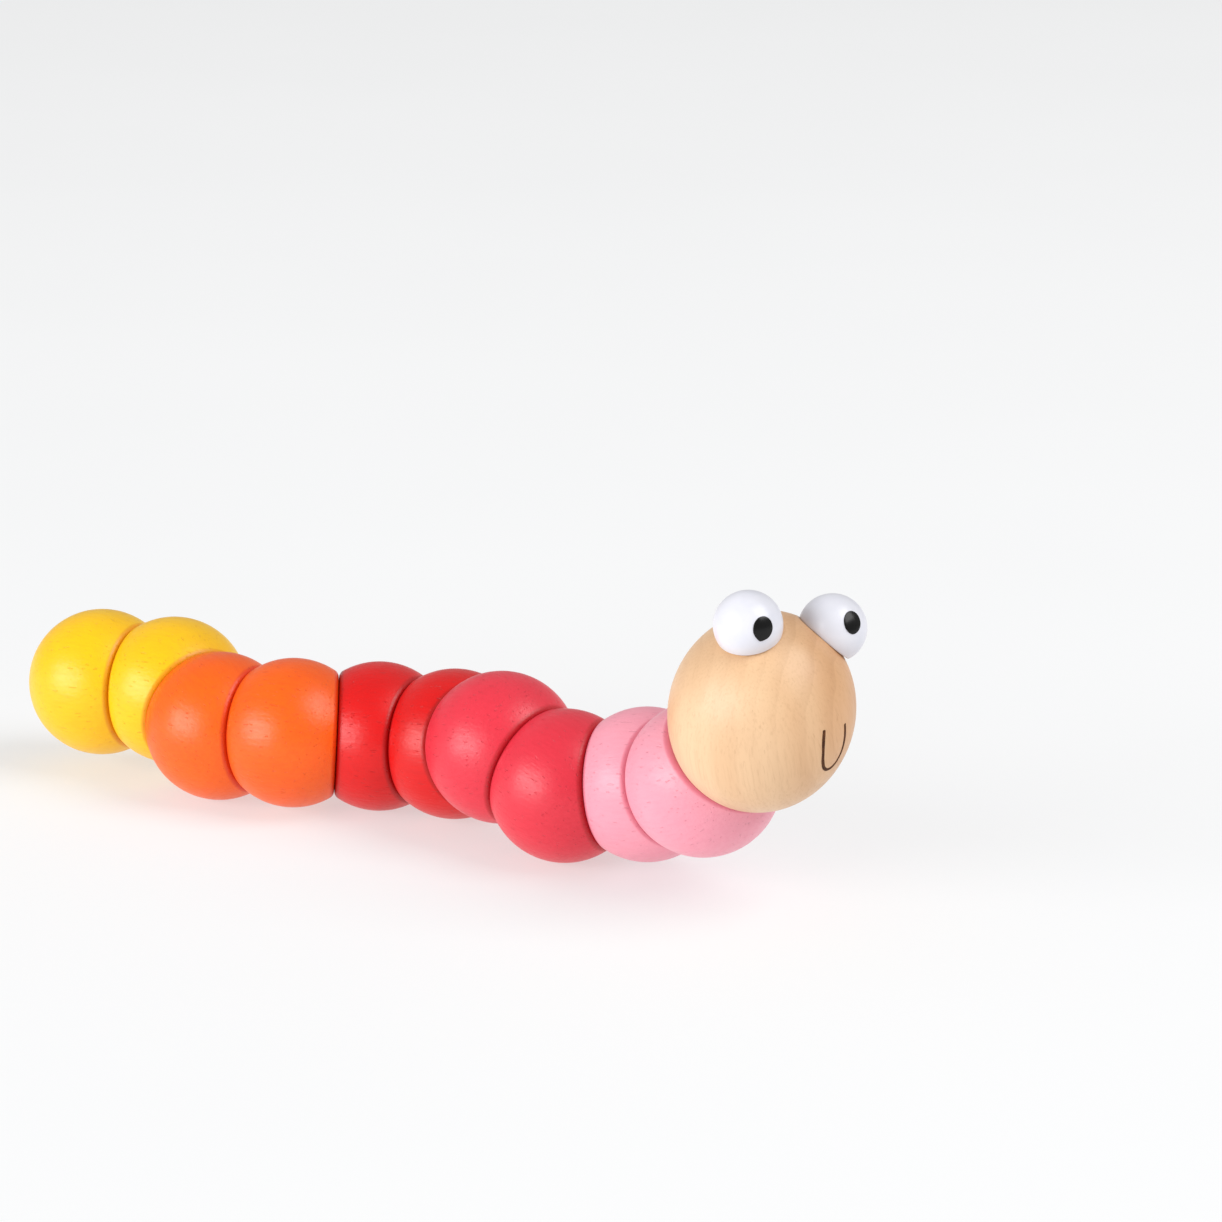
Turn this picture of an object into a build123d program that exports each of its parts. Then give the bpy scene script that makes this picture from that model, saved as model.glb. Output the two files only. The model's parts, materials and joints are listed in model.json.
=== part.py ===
from build123d import *
import math
import os

# Wooden twisting worm: ten painted balls and a head, strung on one elastic cord.
#
# Every ball is cut by two flats that lean to each other by the wedge angle. The flats of
# neighbours lie on each other, and a piece turns about the line between the ball centres,
# so turning the joints bends the body. Millimetres and degrees, +Z up. The toy stands at
# z = 0, and the origin is below the middle of its box.

# ---- body balls -------------------------------------------------------------------
ball_diameter = 30.0
ball_pitch = 17.2          # from one ball centre to the next
wedge_angle = 30.0         # between the two flats of a ball
edge_radius = 1.6          # softened rim round every flat
joint_gap = 0.08           # running gap between two flats

# ---- head -------------------------------------------------------------------------
head_diameter = 35.0       # across the grain
head_length = 38.5         # along the grain, before the neck is cut

# ---- eyes: balls with a flat, glued on flats of the head ---------------------------
eye_diameter = 13.0
eye_flat_drop = 2.5        # from the eye's centre down to its flat
eye_overhang = 0.25        # how far the eye's flat reaches past the flat on the head
eye_lean = 28.0            # sideways, from the crown axis to an eye's axis
eye_forward = 3.5          # towards the face, from the crown axis to the eyes' axes
eye_rim = 0.3              # softened rim of the eye's flat

# ---- elastic cord and what holds it -------------------------------------------------
cord_diameter = 2.5
cord_bore = 4.0
cord_bend = 12.0           # bend radius of the cord at a ball's centre
knot_diameter = 6.0
knot_length = 4.0
knot_rounding = 1.5
pocket_diameter = 8.0      # round pocket that takes a knot, in the tail ball and the head
glue_gap = 0.05            # between a pocket's wall and what is glued in it
tail_knot_depth = 4.5      # from the tail ball's centre to its knot
neck_bush_length = 8.0
neck_bush_inset = 0.4      # the bush sits this far inside the neck flat
head_pocket_spare = 1.5    # empty depth behind the knot in the head

# ---- pose ---------------------------------------------------------------------------
colours = ("yellow", "orange", "red", "raspberry", "pink")
balls_per_colour = 2
# how far each piece after the tail ball is turned about its joint
twists = (131.5, -176.5, -42.5, -179.0, -9.0, 133.5, 109.0, 110.0, -78.5, -9.2)
standing_balls = (3, 5, 8)  # counted from the tail: these three touch the ground
heading = -11.5             # from +X to the line between the first two of them

# ---- sizes that follow ----------------------------------------------------------------
ball_radius = ball_diameter / 2
half_pitch = ball_pitch / 2
flat_distance = half_pitch - joint_gap / 2
flat_radius = math.sqrt(ball_radius**2 - half_pitch**2)
head_radius = head_diameter / 2
head_half_length = head_length / 2


def head_reach(angle):
    """Distance from the head's centre to its skin, at an angle from the crown axis."""
    across = math.sin(math.radians(angle)) / head_radius
    along = math.cos(math.radians(angle)) / head_half_length
    return 1 / math.hypot(across, along)


# the neck joint is where the head is as wide as the flat of the last ball
neck_distance = math.sqrt(head_reach(wedge_angle) ** 2 - flat_radius**2)
neck_flat = joint_gap / 2 - neck_distance
bush_start = neck_flat + neck_bush_inset
head_knot_start = bush_start + neck_bush_length
head_pocket_end = head_knot_start + knot_length + head_pocket_spare
eye_radius = eye_diameter / 2
eye_flat_radius = math.sqrt(eye_radius**2 - eye_flat_drop**2)
eye_seat_radius = eye_flat_radius - eye_overhang
eye_off_crown = math.degrees(
    math.acos(math.cos(math.radians(eye_lean)) * math.cos(math.radians(eye_forward)))
)
eye_seat_distance = math.sqrt(head_reach(eye_off_crown) ** 2 - eye_seat_radius**2)


def bar(diameter, start, end):
    """Round bar along +Z between two heights."""
    return Pos(0, 0, start) * Cylinder(
        diameter / 2, end - start, align=(Align.CENTER, Align.CENTER, Align.MIN)
    )


def cut_flat(solid, towards, distance):
    """Cut a solid square to a direction, and soften the rim of the new flat."""
    flat_plane = Plane(origin=towards * distance, z_dir=towards)
    solid = split(solid, flat_plane, keep=Keep.BOTTOM)
    rims = []
    for face in solid.faces().filter_by(GeomType.PLANE):
        if abs(flat_plane.to_local_coords(face.center()).Z) < 1e-4:
            rims += face.edges()
    return fillet(rims, edge_radius)


tail_side = Vector(0, 0, -1)
lean = math.radians(wedge_angle)
head_side = Vector(math.sin(lean), 0, math.cos(lean))
lean_turn = Rot(0, wedge_angle, 0)


def make_ball():
    """Ball with two flats, bored square to each flat as far as the middle."""
    ball = cut_flat(Sphere(ball_radius), tail_side, flat_distance)
    ball = cut_flat(ball, head_side, flat_distance)
    bore = bar(cord_bore, -ball_radius, 0)
    bore += lean_turn * bar(cord_bore, 0, ball_radius)
    bore += Sphere(cord_bore / 2)
    return ball - bore


def make_tail_ball():
    """Ball with one flat on its +Z side, and a pocket for the knot at its other end."""
    ball = cut_flat(Sphere(ball_radius), Vector(0, 0, 1), flat_distance)
    ball -= bar(cord_bore, -tail_knot_depth, ball_radius)
    return ball - bar(pocket_diameter, -ball_radius, -tail_knot_depth)


def make_tail_plug():
    """Plug that closes the tail pocket, with its outer end flush with the ball."""
    plug = bar(pocket_diameter - 2 * glue_gap, -ball_radius, -tail_knot_depth - knot_length)
    return plug & Sphere(ball_radius)


def make_knot(start):
    """Knot as a rounded barrel that begins at a height and goes on along +Z."""
    knot = bar(knot_diameter, start, start + knot_length)
    return fillet(knot.edges().filter_by(GeomType.CIRCLE), knot_rounding)


def make_cord(*corners):
    """Length of cord along straight runs, with its bends rounded."""
    if len(corners) > 2:
        route = FilletPolyline(*corners, radius=cord_bend)
    else:
        route = Line(*corners)
    return sweep(Plane(origin=route @ 0, z_dir=route % 0) * Circle(cord_diameter / 2), route)


def make_head():
    """Turned head, crown up along +Z after its lean, with its neck flat towards -Z."""
    profile = Ellipse(head_radius, head_half_length) & Pos(head_radius, 0) * Rectangle(
        2 * head_radius, 2 * head_length
    )
    head = lean_turn * revolve(Plane.XZ * profile, Axis.Z)
    head = cut_flat(head, tail_side, -neck_flat)
    for side in (-1, 1):
        seat = eye_place(side) * Pos(0, 0, eye_seat_distance)
        head -= seat * Cylinder(
            head_radius, head_radius, align=(Align.CENTER, Align.CENTER, Align.MIN)
        )
    return head - bar(pocket_diameter, -head_length, head_pocket_end)


def eye_place(side):
    """Frame at the head's centre with +Z along one eye's axis; side is -1 or 1."""
    return lean_turn * Rot(0, -eye_forward, 0) * Rot(side * eye_lean, 0, 0)


def make_eye(side):
    """Ball eye cut by its flat, which lies on the seat of the head."""
    eye = Sphere(eye_radius)
    eye -= bar(2 * eye_diameter, -eye_diameter, -eye_flat_drop)
    eye = fillet(eye.edges().filter_by(GeomType.CIRCLE), eye_rim)
    return eye_place(side) * Pos(0, 0, eye_seat_distance + eye_flat_drop) * eye


def make_neck_bush():
    """Drilled bush, glued in the head's pocket, that the knot pulls against."""
    bush = bar(pocket_diameter - 2 * glue_gap, bush_start, head_knot_start)
    return bush - bar(cord_bore, neck_flat, head_pocket_end)


# ---- the row of pieces, laid out from the tail --------------------------------------
names = [f"{colour}_{n}" for colour in colours for n in range(1, balls_per_colour + 1)]
places = [Location()]
onward = Location()
for number, twist in enumerate(twists, start=2):
    is_head = number > len(names)
    reach = half_pitch + neck_distance if is_head else ball_pitch
    places.append(onward * Rot(0, 0, twist) * Pos(0, 0, reach))
    onward = places[-1] * lean_turn

# ---- stand the row on its three standing balls --------------------------------------
first, second, third = [places[number - 1].position for number in standing_balls]
ground = Plane(origin=first, x_dir=second - first, z_dir=(second - first).cross(third - first))
if ground.to_local_coords(places[-1].position).Z < 0:
    ground = Plane(origin=first, x_dir=second - first, z_dir=-ground.z_dir)
level = Rot(0, 0, heading) * ground.location.inverse()
places = [level * place for place in places]

# ---- the pieces ------------------------------------------------------------------------
ball = make_ball()
joint_below = Vector(0, 0, -half_pitch)
ball_cord = make_cord(joint_below, Vector(0, 0, 0), head_side * half_pitch)
solids = {}
bodies = {}
for name, place in zip(names, places):
    if name == names[0]:
        own = {
            f"{name}_ball": make_tail_ball(),
            f"cord_in_{name}": make_cord(
                Vector(0, 0, -tail_knot_depth), Vector(0, 0, half_pitch)
            ),
            "tail_knot": make_knot(-tail_knot_depth - knot_length),
            "tail_plug": make_tail_plug(),
        }
    else:
        own = {f"{name}_ball": ball, f"cord_in_{name}": ball_cord}
    bodies[name] = list(own)
    for node, solid in own.items():
        solids[node] = place * solid

own = {
    "head_ball": make_head(),
    "eye_left": make_eye(1),
    "eye_right": make_eye(-1),
    "neck_bush": make_neck_bush(),
    "head_knot": make_knot(head_knot_start),
    "cord_in_head": make_cord(Vector(0, 0, -neck_distance), Vector(0, 0, head_knot_start)),
}
bodies["head"] = list(own)
for node, solid in own.items():
    solids[node] = places[-1] * solid

# ---- origin below the middle of the box ---------------------------------------------
box = Compound([solid.solid() for solid in solids.values()]).bounding_box()
to_origin = Pos(-box.center().X, -box.center().Y, -box.min.Z)
places = [to_origin * place for place in places]
solids = {node: to_origin * solid for node, solid in solids.items()}

os.makedirs("parts", exist_ok=True)
for node, solid in solids.items():
    export_step(solid, f"parts/{node}.step")
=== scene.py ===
"""A wooden twisting worm: painted balls on a cord, with a plain wooden head.

The turned and drilled pieces come with the frame and get their finishes here. The
painted pupils and the burned mouth are made here. Metres, +Z up.
"""

import json
import math

import bpy
from mathutils import Euler, Matrix, Vector

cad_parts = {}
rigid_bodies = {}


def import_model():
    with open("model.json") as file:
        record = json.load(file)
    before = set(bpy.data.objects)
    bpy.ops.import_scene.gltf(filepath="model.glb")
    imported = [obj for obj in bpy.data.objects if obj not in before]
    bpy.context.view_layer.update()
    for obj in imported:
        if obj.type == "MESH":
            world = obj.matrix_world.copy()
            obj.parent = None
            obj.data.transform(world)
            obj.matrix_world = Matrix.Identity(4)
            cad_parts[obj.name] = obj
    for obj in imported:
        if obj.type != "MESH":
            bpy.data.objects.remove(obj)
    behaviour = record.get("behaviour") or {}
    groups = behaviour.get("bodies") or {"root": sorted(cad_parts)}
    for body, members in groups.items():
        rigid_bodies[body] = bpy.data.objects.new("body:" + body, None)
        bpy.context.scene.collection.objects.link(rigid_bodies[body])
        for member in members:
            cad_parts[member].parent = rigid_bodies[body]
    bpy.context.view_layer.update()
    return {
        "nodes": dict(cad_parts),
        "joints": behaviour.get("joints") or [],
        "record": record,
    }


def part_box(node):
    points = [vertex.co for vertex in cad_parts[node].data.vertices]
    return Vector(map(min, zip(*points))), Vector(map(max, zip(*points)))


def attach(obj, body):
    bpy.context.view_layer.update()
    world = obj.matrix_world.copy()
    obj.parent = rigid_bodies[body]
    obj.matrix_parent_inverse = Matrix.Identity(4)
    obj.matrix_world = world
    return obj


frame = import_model()
nodes = frame["nodes"]
MM = 0.001


# ---------------------------------------------------------------------------------
# how finishes are made: a socket that does sums, and a bench that adds nodes
# ---------------------------------------------------------------------------------
def sum_and_reflected(operation):
    """One sum on a value, and the same with the value on its right."""

    def plain(self, other):
        return self.bench.add("ShaderNodeMath", {"operation": operation}, {0: self, 1: other})

    def reflected(self, other):
        return self.bench.add("ShaderNodeMath", {"operation": operation}, {0: other, 1: self})

    return plain, reflected


class Value:
    """A number that changes over a surface: sums on it add Math nodes."""

    def __init__(self, bench, socket):
        self.bench = bench
        self.socket = socket

    __add__, __radd__ = sum_and_reflected("ADD")
    __sub__, __rsub__ = sum_and_reflected("SUBTRACT")
    __mul__, __rmul__ = sum_and_reflected("MULTIPLY")
    __truediv__, __rtruediv__ = sum_and_reflected("DIVIDE")
    __pow__, __rpow__ = sum_and_reflected("POWER")
    __mod__, __rmod__ = sum_and_reflected("MODULO")


class Bench:
    """One material being made. Its place is measured on the piece, in metres."""

    def __init__(self, name):
        self.material = bpy.data.materials.new(name)
        self.material.use_nodes = True
        self.tree = self.material.node_tree
        self.tree.nodes.clear()
        self.place = self.add("ShaderNodeTexCoord", take="Object")

    def add(self, kind, settings=None, sockets=None, take=0):
        """A node with its settings first, then its sockets by number or by name."""
        node = self.tree.nodes.new(kind)
        for key, value in (settings or {}).items():
            setattr(node, key, value)
        for key, value in (sockets or {}).items():
            if isinstance(value, Value):
                self.tree.links.new(value.socket, node.inputs[key])
            else:
                node.inputs[key].default_value = value
        return Value(self, node.outputs[take]) if node.outputs else None

    def finish(self, **sockets):
        """Close the material with its shader. What is the same all over is a plain number."""
        named = {name.replace("_", " "): value for name, value in sockets.items()}
        self.add("ShaderNodeOutputMaterial", {}, {0: self.add("ShaderNodeBsdfPrincipled", {}, named)})
        return self.material

    def turned(self, turn, centre, spread=(1, 1, 1)):
        """Place measured from a centre along the columns of a turn, each spread by its share."""
        return self.add(
            "ShaderNodeMapping",
            {"vector_type": "TEXTURE"},
            {"Vector": self.place, "Location": centre, "Rotation": turn.to_euler(), "Scale": spread},
        )

    def noise(self, where, scale, detail, rough, seed):
        """Soft noise with so many waves to the metre."""
        return self.add(
            "ShaderNodeTexNoise",
            {"noise_dimensions": "4D"},
            {"Vector": where, "W": seed, "Scale": scale, "Detail": detail, "Roughness": rough},
        )

    def between(self, value, low, high, to_low=0.0, to_high=1.0):
        """Value spread from one range to another, held at its ends, with a soft step."""
        return self.add(
            "ShaderNodeMapRange",
            {"interpolation_type": "SMOOTHSTEP"},
            {0: value, 1: low, 2: high, 3: to_low, 4: to_high},
        )

    def distance_over(self, plane_place, plane_axis):
        """Distance over a plane, negative below it."""
        offset = self.add(
            "ShaderNodeVectorMath", {"operation": "SUBTRACT"}, {0: self.place, 1: plane_place}
        )
        return self.add(
            "ShaderNodeVectorMath", {"operation": "DOT_PRODUCT"}, {0: offset, 1: plane_axis}, take=1
        )

    def blend(self, share, first, second):
        """Colour from first to second."""
        return self.add(
            "ShaderNodeMix", {"data_type": "RGBA"}, {0: share, 6: first, 7: second}, take=2
        )

    def bump(self, height, depth):
        """Height, in units of depth metres, as a bump."""
        return self.add("ShaderNodeBump", {}, {"Height": height, "Distance": depth})


def rgba(red, green, blue):
    """Screen colour, 0 to 255, as the light it stands for in sRGB."""
    return tuple(
        (share / 12.92 if share <= 0.04045 else ((share + 0.055) / 1.055) ** 2.4)
        for share in (red / 255, green / 255, blue / 255)
    ) + (1.0,)


# ---------------------------------------------------------------------------------
# where things are
# ---------------------------------------------------------------------------------
def middle(node):
    """Mean of a node's corners: on the axis of a round piece."""
    corners = [vertex.co for vertex in nodes[node].data.vertices]
    return sum(corners, Vector()) / len(corners)


def box_middle(node):
    low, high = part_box(node)
    return (low + high) / 2


def axis_frame(axis):
    """Turn that takes +Z to an axis."""
    return Vector((0, 0, 1)).rotation_difference(axis).to_matrix()


NECK_TO_HEAD = 14.18 * MM        # from the neck joint to the head's centre
EYE_RADIUS = 6.5 * MM
EYE_CENTRE = 20.41 * MM          # from the head's centre to an eye's centre
EYES = ("eye_left", "eye_right")

neck = next(joint for joint in frame["joints"] if joint["child"] == "head")
neck_axis = Vector(neck["axis"])
head_centre = Vector(neck["pos_m"]) + neck_axis * NECK_TO_HEAD
eye_axis = {eye: (middle(eye) - head_centre).normalized() for eye in EYES}
crown = (eye_axis["eye_left"] + eye_axis["eye_right"]).normalized()
leftward = eye_axis["eye_left"] - eye_axis["eye_right"]
leftward = (leftward - crown * leftward.dot(crown)).normalized()
forward = leftward.cross(crown)


def face_direction(ahead, left, up):
    """Direction from the head, in the worm's own terms."""
    return (forward * ahead + leftward * left + crown * up).normalized()


# ---------------------------------------------------------------------------------
# paint on the balls
# ---------------------------------------------------------------------------------
PAINTS = {                       # colour of a thin coat, and of a thick one
    "yellow": (rgba(250, 199, 0), rgba(243, 176, 0)),
    "orange": (rgba(245, 101, 2), rgba(238, 76, 0)),
    "red": (rgba(220, 4, 4), rgba(198, 0, 2)),
    "raspberry": (rgba(228, 53, 71), rgba(210, 35, 53)),
    "pink": (rgba(244, 162, 179), rgba(236, 142, 161)),
}
CLOUD_WAVES = 55                 # to the metre, as every other count of waves here
PAINT_GRAIN_WAVES = 1300
PAINT_PORE_WAVES = 2300
ORANGE_PEEL_WAVES = 1500
GRAIN_LENGTH = 5                 # of a pore, to its width
PAINT_RELIEF = 0.08 * MM
PAINT_ROUGHNESS = 0.355
GROOVE_SHADE_REACH = 1.1 * MM            # from a seam to where the painted groove shade ends
GROOVE_SHADE_STRENGTH = 0.7              # share of painted groove shade at a seam
GROOVE_SHADE_SHARE = 0.85            # brightness of the painted groove shade, to that of a thick coat
GROOVE_SHADE_DEPTH = 1.5             # how much stronger its colour is
SEED_STEP = 1.7                  # sets one ball's grain apart from the next one's


def satin_paint(name, thin, thick, axis, centre, seams, seed):
    """Paint in which the wood's fine pores still show, with painted shade in the grooves where the
    next balls meet it.
    """
    bench = Bench(name)
    grain_place = bench.turned(axis_frame(axis), centre, (1, 1, GRAIN_LENGTH))
    cloud = bench.noise(bench.place, CLOUD_WAVES, 2, 0.5, seed)
    grain = bench.noise(grain_place, PAINT_GRAIN_WAVES, 3, 0.65, seed + 3)
    pore_noise = bench.noise(grain_place, PAINT_PORE_WAVES, 1, 0.4, seed + 7)
    pores = bench.between(pore_noise, 0.66, 0.74)
    peel = bench.noise(bench.place, ORANGE_PEEL_WAVES, 2, 0.5, seed + 11)
    thickness = bench.between(cloud, 0.3, 0.7, 0, 0.3) + bench.between(grain, 0.35, 0.7, 0, 0.25)
    base = bench.blend(thickness + pores * 0.22, thin, thick)
    # painted groove shade: darker, deeper-coloured paint near each seam stands in for the shade
    # between the balls, along with the paint gathered there
    groove_shade_colour = tuple(GROOVE_SHADE_SHARE * channel**GROOVE_SHADE_DEPTH for channel in thick[:3]) + (1.0,)
    for seam_place, seam_axis in seams:
        away = bench.distance_over(seam_place, seam_axis)
        groove_shade_mask = bench.between(away * away, GROOVE_SHADE_REACH**2, 0, 0, GROOVE_SHADE_STRENGTH)
        base = bench.blend(groove_shade_mask, base, groove_shade_colour)
    uneven = bench.between(grain, 0.3, 0.7, -0.04, 0.04) + peel * 0.05
    height = grain * 0.9 + peel * 0.6 - pores * 1.2
    return bench.finish(
        Base_Color=base,
        Roughness=PAINT_ROUGHNESS + uneven,
        Normal=bench.bump(height, PAINT_RELIEF),
        Specular_IOR_Level=0.4,
        Coat_Weight=0.12,
        Coat_Roughness=0.34,
    )


def paint_for(body, seed):
    """Each body's coat, its grain along the line to the next piece."""
    seams = [
        (joint["pos_m"], joint["axis"])
        for joint in frame["joints"]
        if body in (joint["parent"], joint["child"])
    ]
    first_axis = Vector(seams[0][1])
    thin, thick = PAINTS[body.split("_")[0]]
    centre = box_middle(f"{body}_ball")
    return satin_paint(f"{body}_paint", thin, thick, first_axis, centre, seams, seed)


# ---------------------------------------------------------------------------------
# bare wood of the head and the bush
# ---------------------------------------------------------------------------------
HEART = (-34 * MM, 0.0, -26 * MM)  # of the tree, from the middle of a turned piece
RING_SPACING = 3.4 * MM
RING_SWAY = 6 * MM               # how far the rings wander
SWAY_WAVES = 70
ZONE_WAVES = 75
FIBRE_WAVES = 2100
FLECK_WAVES = 2300
FIBRE_LENGTH = 16                # of a fibre, to its width
FLECK_LENGTH = 7
WOOD_RELIEF = 0.018 * MM
WOOD_ROUGHNESS = 0.42


def lacquered_wood(name, turn, centre, pale, warm, line, shine):
    """Pale close-grained wood under thin lacquer. The turn's Y runs along the grain."""
    bench = Bench(name)
    along = bench.turned(turn, centre, (1, FIBRE_LENGTH, 1))
    short = bench.turned(turn, centre, (1, FLECK_LENGTH, 1))
    sway = bench.noise(along, SWAY_WAVES, 2, 0.5, 2)
    # growth rings lie round a heart that is outside the turned piece
    from_heart = bench.turned(turn, centre + turn @ Vector(HEART))
    side = bench.add("ShaderNodeSeparateXYZ", {}, {"Vector": from_heart}, take="X")
    depth = bench.add("ShaderNodeSeparateXYZ", {}, {"Vector": from_heart}, take="Z")
    ring_radius = (side * side + depth * depth) ** 0.5 + (sway - 0.5) * RING_SWAY
    ring = ring_radius / RING_SPACING % 1.0
    late_wood = bench.between(ring, 0.35, 0.93) * bench.between(ring, 1.0, 0.94)
    fibres = bench.noise(along, FIBRE_WAVES, 3, 0.65, 5)
    flecks = bench.between(bench.noise(short, FLECK_WAVES, 1, 0.4, 9), 0.66, 0.73)
    zones = bench.between(bench.noise(along, ZONE_WAVES, 2, 0.5, 12), 0.34, 0.66, 0, 0.35)
    # the colour is warmer and the rings are plainer on the side away from the heart
    base = bench.blend(zones + bench.between(side, 24 * MM, 50 * MM, 0, 0.65), pale, warm)
    lines = late_wood * bench.between(side, 20 * MM, 50 * MM, 0.03, 0.15)
    base = bench.blend(lines + bench.between(fibres, 0.45, 0.75, 0, 0.16), base, line)
    base = bench.blend(flecks * 0.14, base, line)
    return bench.finish(
        Base_Color=base,
        Roughness=WOOD_ROUGHNESS + bench.between(fibres, 0.3, 0.7, -0.05, 0.05),
        Normal=bench.bump(fibres * 0.5 - flecks * 0.8, WOOD_RELIEF),
        Specular_IOR_Level=0.45,
        Coat_Weight=shine,
        Coat_Roughness=0.32,
    )


# ---------------------------------------------------------------------------------
# enamel, char and elastic
# ---------------------------------------------------------------------------------
FLOW_WAVES = 260
DUST_WAVES = 2400
ENAMEL_RELIEF = 0.012 * MM
CHAR_WAVES = 1500
CHAR_RELIEF = 0.04 * MM
THREAD_WAVES = 700
BRAID_RELIEF = 0.1 * MM


def gloss_enamel(name, colour, shadow, seed, rough, specular, coat):
    """Brushed gloss paint with a soft unevenness."""
    bench = Bench(name)
    flow = bench.noise(bench.place, FLOW_WAVES, 2, 0.5, seed)
    dust = bench.noise(bench.place, DUST_WAVES, 2, 0.5, seed + 4)
    return bench.finish(
        Base_Color=bench.blend(bench.between(flow, 0.35, 0.7, 0, 0.5), colour, shadow),
        Roughness=rough + dust * 0.1,
        Normal=bench.bump(flow * 0.8 + dust * 0.2, ENAMEL_RELIEF),
        Specular_IOR_Level=specular,
        Coat_Weight=coat,
        Coat_Roughness=0.14,
    )


def burned_line():
    """Char, near black in places and brown where the burn was brief."""
    bench = Bench("burned_line")
    char = bench.noise(bench.place, CHAR_WAVES, 3, 0.6, 4)
    return bench.finish(
        Base_Color=bench.blend(bench.between(char, 0.3, 0.7), rgba(58, 28, 12), rgba(104, 62, 32)),
        Roughness=0.6 + char * 0.3,
        Normal=bench.bump(char, CHAR_RELIEF),
        Specular_IOR_Level=0.25,
    )


def braided_elastic():
    """White braided cover over rubber: two rows of threads that cross."""
    bench = Bench("braided_elastic")
    across, over = [
        bench.add(
            "ShaderNodeTexWave",
            {"wave_type": "BANDS", "bands_direction": way},
            {"Vector": bench.place, "Scale": THREAD_WAVES, "Distortion": 1.5},
        )
        for way in ("DIAGONAL", "Y")
    ]
    weave = across * over
    return bench.finish(
        Base_Color=bench.blend(weave, rgba(196, 192, 184), rgba(240, 238, 232)),
        Roughness=0.9 - weave * 0.15,
        Normal=bench.bump(weave, BRAID_RELIEF),
        Specular_IOR_Level=0.3,
    )


# ---------------------------------------------------------------------------------
# every piece gets its finish
# ---------------------------------------------------------------------------------
GRAIN_LEAN = math.radians(28)    # of the head's grain, off its crown


def dress(piece, finish):
    """Give a piece its one finish."""
    piece.data.materials.clear()
    piece.data.materials.append(finish)


elastic = braided_elastic()
for number, (body, members) in enumerate(frame["record"]["behaviour"]["bodies"].items()):
    for node in members:
        if node.startswith("cord_in_") or node.endswith("_knot"):
            dress(nodes[node], elastic)
    if body != "head":
        coat = paint_for(body, SEED_STEP * number)
        dress(nodes[f"{body}_ball"], coat)
        if "tail_plug" in members:
            dress(nodes["tail_plug"], coat)

upright = Matrix((leftward, crown, forward)).transposed()
head_wood = lacquered_wood(
    "head_wood",
    Matrix.Rotation(GRAIN_LEAN, 3, forward) @ upright,
    head_centre,
    pale=rgba(233, 197, 157),
    warm=rgba(209, 157, 110),
    line=rgba(160, 104, 60),
    shine=0.12,
)
bush_wood = lacquered_wood(
    "bush_wood",
    axis_frame(neck_axis) @ Matrix.Rotation(math.radians(90), 3, "X"),
    box_middle("neck_bush"),
    pale=rgba(226, 192, 146),
    warm=rgba(214, 174, 124),
    line=rgba(180, 134, 88),
    shine=0.0,
)
dress(nodes["head_ball"], head_wood)
dress(nodes["neck_bush"], bush_wood)

eye_enamel = gloss_enamel(
    "eye_enamel", rgba(225, 225, 233), rgba(216, 217, 228), seed=3, rough=0.3, specular=0.45, coat=0.2
)
pupil_enamel = gloss_enamel(
    "pupil_enamel", rgba(7, 7, 7), rgba(14, 13, 13), seed=8, rough=0.2, specular=0.25, coat=0.1
)
for eye in EYES:
    dress(nodes[eye], eye_enamel)


# ---------------------------------------------------------------------------------
# tools for new pieces
# ---------------------------------------------------------------------------------
def rest_hands():
    """Leave edit mode and let go of everything."""
    if bpy.context.object and bpy.context.object.mode != "OBJECT":
        bpy.ops.object.mode_set(mode="OBJECT")
    bpy.ops.object.select_all(action="DESELECT")


def finish_with(piece, kind, **settings):
    """Put a modifier on a piece and apply it."""
    bpy.context.view_layer.objects.active = piece
    modifier = piece.modifiers.new(kind.lower(), kind)
    for key, value in settings.items():
        setattr(modifier, key, value)
    bpy.ops.object.modifier_apply(modifier=modifier.name)


def lay_on(piece, node, place, turn, sink):
    """Drop a piece, made flat at the origin, from a place onto a node, sunk in by a hair."""
    piece.matrix_world = Matrix.Translation(place) @ turn.to_4x4()
    finish_with(
        piece, "SHRINKWRAP", target=nodes[node], wrap_method="PROJECT",
        use_project_z=True, use_negative_direction=True, use_positive_direction=False,
        wrap_mode="ON_SURFACE", offset=-sink,
    )
    bpy.ops.object.transform_apply(location=True, rotation=True, scale=True)


# ---------------------------------------------------------------------------------
# painted pupils
# ---------------------------------------------------------------------------------
PUPIL_CORNERS = 72
PUPIL_INSETS = 5                 # rings of faces that let the oval bend with the eye
PUPIL_INSET_SHARE = 0.08         # of the oval's width, for each ring
PUPIL_THICKNESS = 0.18 * MM
PUPIL_SINK = 0.04 * MM
PUPIL_START = 1.3 * EYE_RADIUS   # from the eye's centre, clear of its skin
DRIP_REACH = 0.3                 # of the oval's width, round its lowest point


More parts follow.
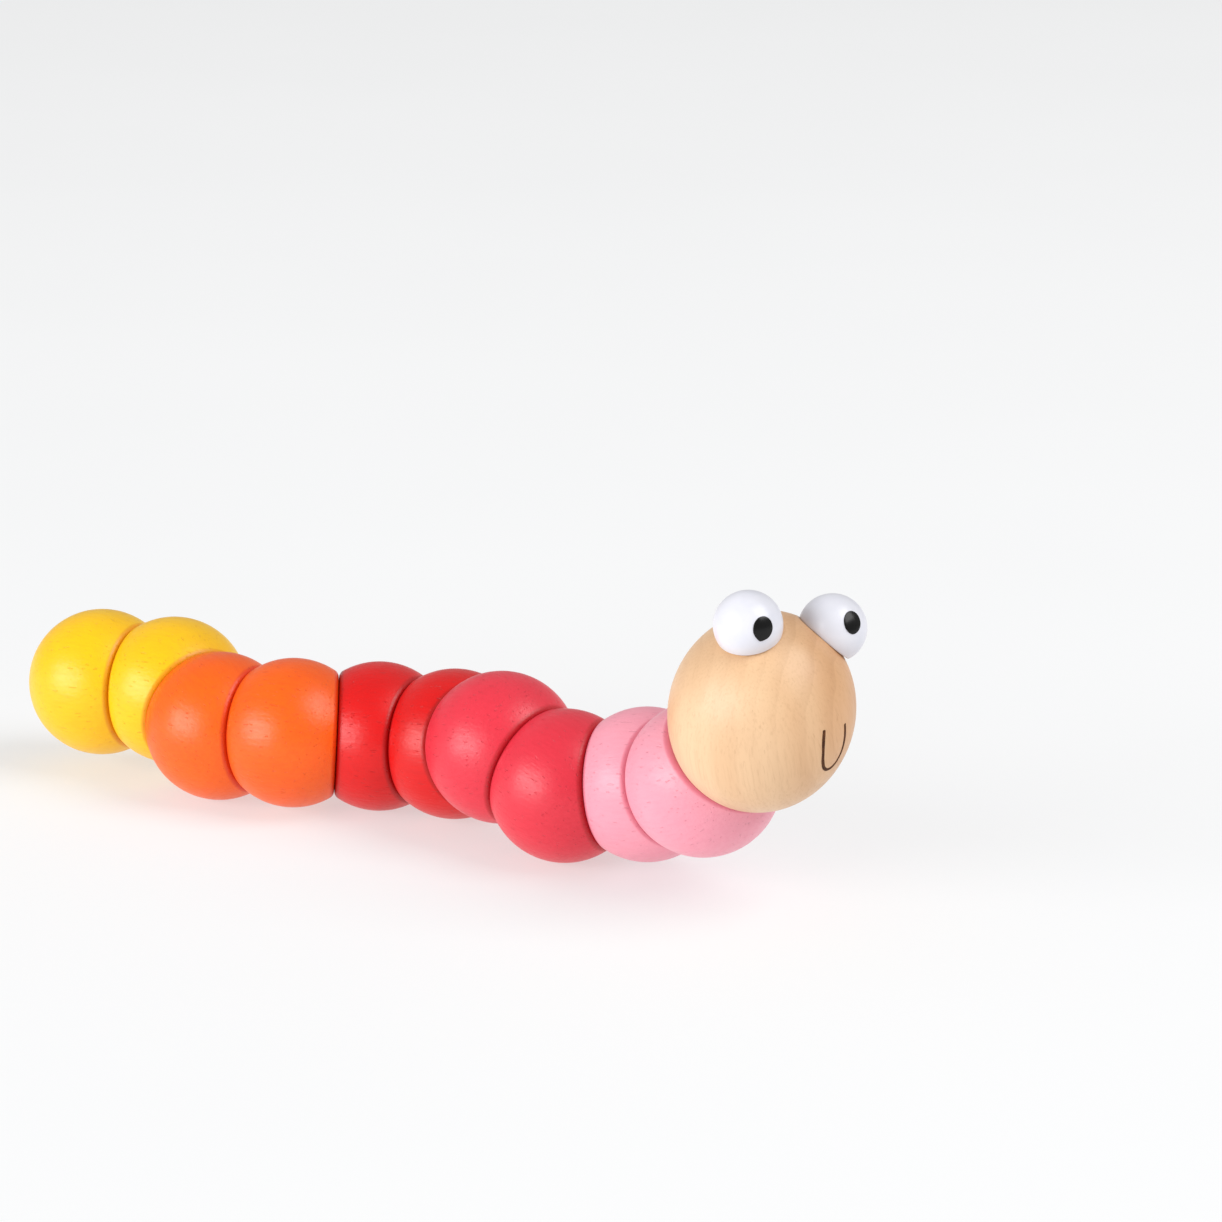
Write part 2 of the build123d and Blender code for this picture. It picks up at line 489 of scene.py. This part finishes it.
def make_pupil(name, eye, outward, width, height, drip, drip_side):
    """Drop of black enamel on an eye: an oval that ends in a small drip below."""
    rest_hands()
    bpy.ops.mesh.primitive_circle_add(vertices=PUPIL_CORNERS, radius=width / 2, fill_type="NGON")
    pupil = bpy.context.active_object
    pupil.name = name
    bpy.ops.object.mode_set(mode="EDIT")
    bpy.ops.mesh.select_all(action="SELECT")
    bpy.ops.transform.resize(value=(1, height / width, 1))
    for _ in range(PUPIL_INSETS):
        bpy.ops.mesh.inset(thickness=width * PUPIL_INSET_SHARE)
    bpy.ops.mesh.poke()
    bpy.ops.object.mode_set(mode="OBJECT")
    lowest = Vector((drip_side, -height / 2, 0))
    for vertex in pupil.data.vertices:
        near = max(0.0, 1 - (vertex.co - lowest).length / (width * DRIP_REACH))
        vertex.co.y -= drip * near * near
    up = (crown - outward * crown.dot(outward)).normalized()
    turn = Matrix((up.cross(outward), up, outward)).transposed()
    over_eye = head_centre + eye_axis[eye] * EYE_CENTRE + outward * PUPIL_START
    lay_on(pupil, eye, over_eye, turn, PUPIL_SINK)
    finish_with(pupil, "SOLIDIFY", thickness=PUPIL_THICKNESS, offset=1.0)
    finish_with(
        pupil, "BEVEL", width=PUPIL_THICKNESS / 2, segments=3, limit_method="ANGLE", angle_limit=0.7
    )
    bpy.ops.object.shade_smooth_by_angle(angle=math.radians(60))
    dress(pupil, pupil_enamel)
    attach(pupil, "head")


make_pupil(
    "pupil_left", "eye_left", face_direction(0.79, -0.01, 0.605),
    width=3.7 * MM, height=4.3 * MM, drip=0.06 * MM, drip_side=0.0,
)
make_pupil(
    "pupil_right", "eye_right", face_direction(0.915, -0.16, 0.365),
    width=3.9 * MM, height=4.4 * MM, drip=0.25 * MM, drip_side=-0.12 * MM,
)


# ---------------------------------------------------------------------------------
# burned mouth
# ---------------------------------------------------------------------------------
MOUTH_TURN = math.radians(18.4)  # from straight ahead to the worm's left
MOUTH_AHEAD = face_direction(math.cos(MOUTH_TURN), math.sin(MOUTH_TURN), 0.0)
# U-shaped stroke, millimetres to the worm's left and up, from the middle of the mouth
MOUTH_STROKE = [
    (-3.35, 5.4), (-3.05, 2.95), (-2.5, 0.95), (-1.7, -1.1), (-0.4, -2.7), (0.95, -3.1),
    (2.3, -2.6), (3.2, -1.25), (3.6, 0.6), (3.45, 2.8), (2.7, 5.85),
]
STROKE_WIDTH = 0.66 * MM
STROKE_THICKNESS = 0.07 * MM
STROKE_SINK = 0.03 * MM
STROKE_UNEVEN = 0.1              # share by which its width wavers
WAVER = 2.3                      # turn of that wavering from point to point, in radians
STAND_OFF = 22 * MM              # from the head's centre, clear of its skin


def make_mouth():
    """Stroke drawn flat as a ribbon, then laid on the head and given a little depth."""
    rest_hands()
    bpy.ops.curve.primitive_bezier_curve_add()
    stroke = bpy.context.active_object
    stroke.name = "mouth"
    line = stroke.data
    line.dimensions = "3D"
    line.extrude = STROKE_WIDTH / 2
    line.resolution_u = 10
    points = line.splines[0].bezier_points
    points.add(len(MOUTH_STROKE) - len(points))
    for number, (point, (left, up)) in enumerate(zip(points, MOUTH_STROKE)):
        point.co = (left * MM, up * MM, 0)
        point.handle_left_type = "AUTO"
        point.handle_right_type = "AUTO"
        point.tilt = math.radians(90)
        point.radius = 1.0 + STROKE_UNEVEN * math.sin(WAVER * number)
    bpy.ops.object.convert(target="MESH")
    finish_with(stroke, "SUBSURF", levels=2, render_levels=2)
    turn = Matrix((crown.cross(MOUTH_AHEAD), crown, MOUTH_AHEAD)).transposed()
    lay_on(stroke, "head_ball", head_centre + MOUTH_AHEAD * STAND_OFF, turn, STROKE_SINK)
    finish_with(stroke, "SOLIDIFY", thickness=STROKE_THICKNESS, offset=1.0)
    bpy.ops.object.shade_smooth_by_angle(angle=math.radians(50))
    dress(stroke, burned_line())
    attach(stroke, "head")


make_mouth()

# ---------------------------------------------------------------------------------
# camera, light and floor
# ---------------------------------------------------------------------------------
CAMERA_PLACE = (0.03445, -0.87215, 0.28766)
CAMERA_TURN = Euler((math.radians(74.54), math.radians(-0.27), math.radians(-0.03)))
LIT_PLACE = Vector((0, 0, 30 * MM))  # what the soft lights face

camera_data = bpy.data.cameras.new("camera")
camera_data.lens = 136.65
camera_data.sensor_width = 36.0
camera_data.clip_start = 0.05
camera = bpy.data.objects.new("camera", camera_data)
camera.location = CAMERA_PLACE
camera.rotation_euler = CAMERA_TURN
bpy.context.scene.collection.objects.link(camera)
bpy.context.scene.camera = camera

world = bpy.data.worlds.new("studio")
world.use_nodes = True
world.node_tree.nodes["Background"].inputs["Color"].default_value = (1, 1, 1, 1)
world.node_tree.nodes["Background"].inputs["Strength"].default_value = 0.42
bpy.context.scene.world = world
bpy.context.scene.view_settings.view_transform = "Standard"


def softbox(name, toward, distance, width, height, power):
    """Soft light that faces the toy from a direction."""
    lamp_data = bpy.data.lights.new(name, "AREA")
    lamp_data.shape = "RECTANGLE"
    lamp_data.size = width
    lamp_data.size_y = height
    lamp_data.energy = power
    lamp = bpy.data.objects.new(name, lamp_data)
    aim = Vector(toward).normalized()
    lamp.location = LIT_PLACE + aim * distance
    lamp.rotation_euler = aim.to_track_quat("Z", "Y").to_euler()
    bpy.context.scene.collection.objects.link(lamp)


softbox("left_softbox", (-0.816, -0.54, 0.204), distance=2.4, width=2.0, height=1.4, power=55)
softbox("right_softbox", (0.629, -0.279, 0.725), distance=2.4, width=1.6, height=1.6, power=36)


def pale_floor():
    """Near-white floor that gives a little light of its own, so that shadows stay faint."""
    bench = Bench("pale_floor")
    mottle = bench.noise(bench.place, 6, 2, 0.5, 0)
    return bench.finish(
        Base_Color=bench.blend(mottle, rgba(176, 177, 178), rgba(173, 174, 175)),
        Emission_Color=bench.blend(mottle, rgba(252, 252, 252), rgba(250, 250, 250)),
        Emission_Strength=0.55,
        Roughness=0.9,
        Specular_IOR_Level=0.05,
    )


rest_hands()
bpy.ops.mesh.primitive_plane_add(size=8, location=(0, 0, 0))
floor = bpy.context.active_object
floor.name = "floor"
dress(floor, pale_floor())
